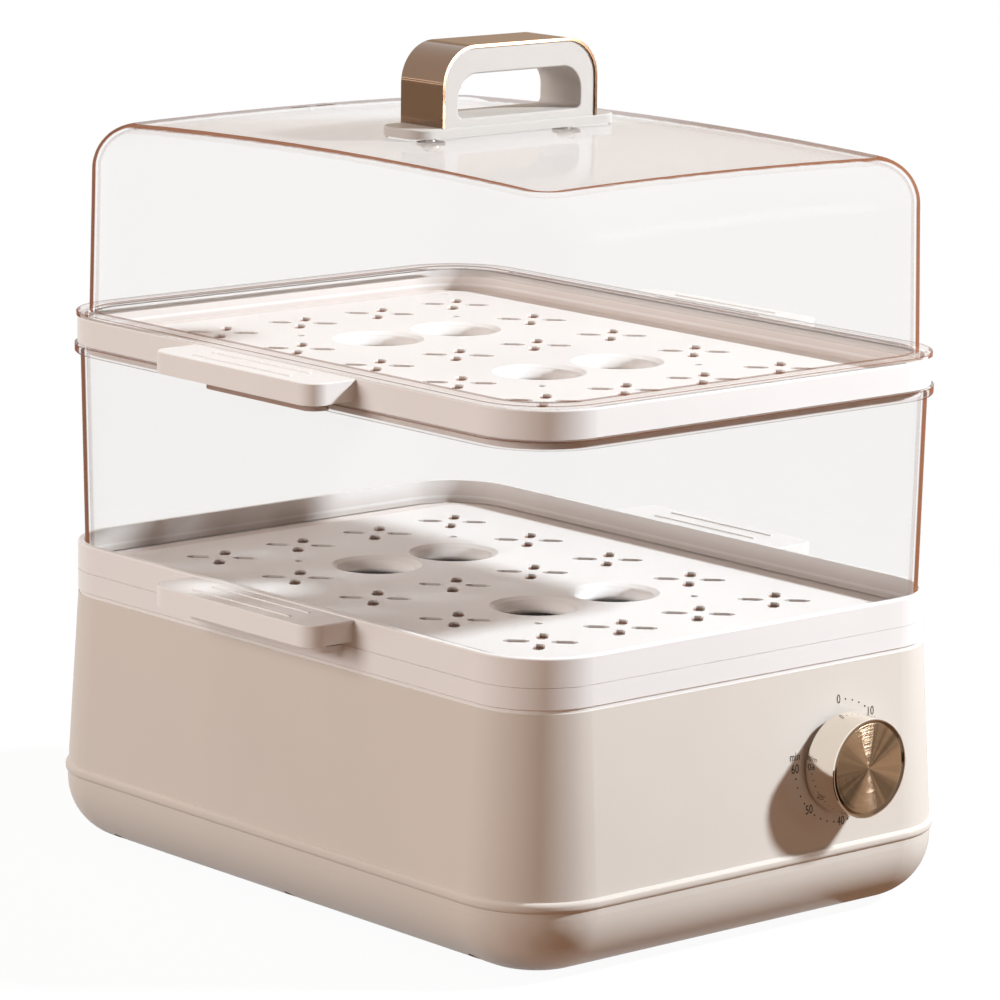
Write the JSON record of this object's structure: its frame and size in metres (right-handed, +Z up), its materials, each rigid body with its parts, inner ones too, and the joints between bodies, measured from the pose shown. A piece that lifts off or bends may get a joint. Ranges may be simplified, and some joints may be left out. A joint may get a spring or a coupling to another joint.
{
  "type": "electric food steamer",
  "caption": "Stacked electric food steamer: water base with timer knob, drip tray, perforated trays, clear tier and clear lid with arched handle.",
  "frame": {"origin": "under the middle of the overall box, on the plane that the feet stand on", "axes": "+Z up, -Y towards the side with the knob, +X to the right when facing the knob"},
  "size_m": [0.2814, 0.3431, 0.3544],
  "materials": {
    "housing_beige": "fine satin moulded plastic, warm beige",
    "cover_beige": "fine satin moulded plastic, warm beige",
    "foot_rubber": "soft grey rubber",
    "zinc_screws": "zinc plated",
    "pan_white": "satin white plastic",
    "plate_steel": "drawn stainless sheet",
    "silicone_grey": "silicone",
    "clamp_steel": "zinc plated sheet",
    "steel_screws": "stainless",
    "steel_nuts": "stainless",
    "element_steel": "heat tinted tube",
    "thermostat_can": "pressed can",
    "fuse_can": "plated can",
    "collar_white": "satin white plastic",
    "gland_black": "dark rubber",
    "gland_nut_black": "dark plastic",
    "terminal_ceramic": "ivory moulding",
    "terminal_brass": "plain brass",
    "timer_steel": "zinc plated sheet",
    "bush_brass": "turned brass",
    "bell_steel": "bright plated",
    "timer_screw_steel": "zinc plated",
    "shaft_steel": "turned steel",
    "clip_steel": "spring steel",
    "knob_champagne": "bright champagne plating",
    "knob_spun_metal": "spun finish, champagne anodised",
    "drip_white": "satin white plastic",
    "tray_white": "satin white plastic",
    "tier_clear": "clear plastic with a light brown tint",
    "upper_tray_white": "satin white plastic",
    "lid_clear": "clear plastic with a light brown tint",
    "handle_white": "satin white plastic",
    "handle_bronze": "bright bronze plating",
    "seal_silicone": "silicone",
    "handle_screw_steel": "stainless"
  },
  "bodies": {
    "base": {"base_housing": "housing_beige", "bottom_cover": "cover_beige", "rubber_feet": "foot_rubber", "cover_screws": "zinc_screws", "water_pan": "pan_white", "heating_plate": "plate_steel", "plate_gasket": "silicone_grey", "clamp_ring": "clamp_steel", "clamp_screws": "steel_screws", "clamp_nuts": "steel_nuts", "heater_element": "element_steel", "thermostat": "thermostat_can", "thermal_fuse": "fuse_can", "steam_collar": "collar_white", "cord_gland": "gland_black", "gland_nut": "gland_nut_black", "terminal_block": "terminal_ceramic", "terminal_screws": "terminal_brass", "timer_case": "timer_steel", "timer_bush": "bush_brass", "timer_bell": "bell_steel", "timer_screws": "timer_screw_steel"},
    "knob": {"timer_shaft": "shaft_steel", "knob_clip": "clip_steel", "knob_body": "knob_champagne", "knob_cap": "knob_spun_metal"},
    "drip_tray": {"drip_tray": "drip_white"},
    "lower_tray": {"lower_tray": "tray_white"},
    "tier": {"tier_wall": "tier_clear"},
    "upper_tray": {"upper_tray": "upper_tray_white"},
    "lid": {"lid_shell": "lid_clear", "handle_grip": "handle_white", "handle_cover": "handle_bronze", "handle_seals": "seal_silicone", "handle_screws": "handle_screw_steel"}
  },
  "joints": [
    {"name": "knob_turn", "type": "hinge", "parent": "base", "child": "knob", "pos_m": [0.049, -0.15586, 0.07], "axis": [0, 1, 0], "range_deg": [0, 270]},
    {"name": "drip_tray_lift", "type": "slide", "parent": "base", "child": "drip_tray", "axis": [0, 0, 1], "range_m": [0, 0.1]},
    {"name": "lower_tray_lift", "type": "slide", "parent": "drip_tray", "child": "lower_tray", "axis": [0, 0, 1], "range_m": [0, 0.1]},
    {"name": "tier_lift", "type": "slide", "parent": "lower_tray", "child": "tier", "axis": [0, 0, 1], "range_m": [0, 0.12]},
    {"name": "upper_tray_lift", "type": "slide", "parent": "tier", "child": "upper_tray", "axis": [0, 0, 1], "range_m": [0, 0.1]},
    {"name": "lid_lift", "type": "slide", "parent": "upper_tray", "child": "lid", "axis": [0, 0, 1], "range_m": [0, 0.12]}
  ]
}
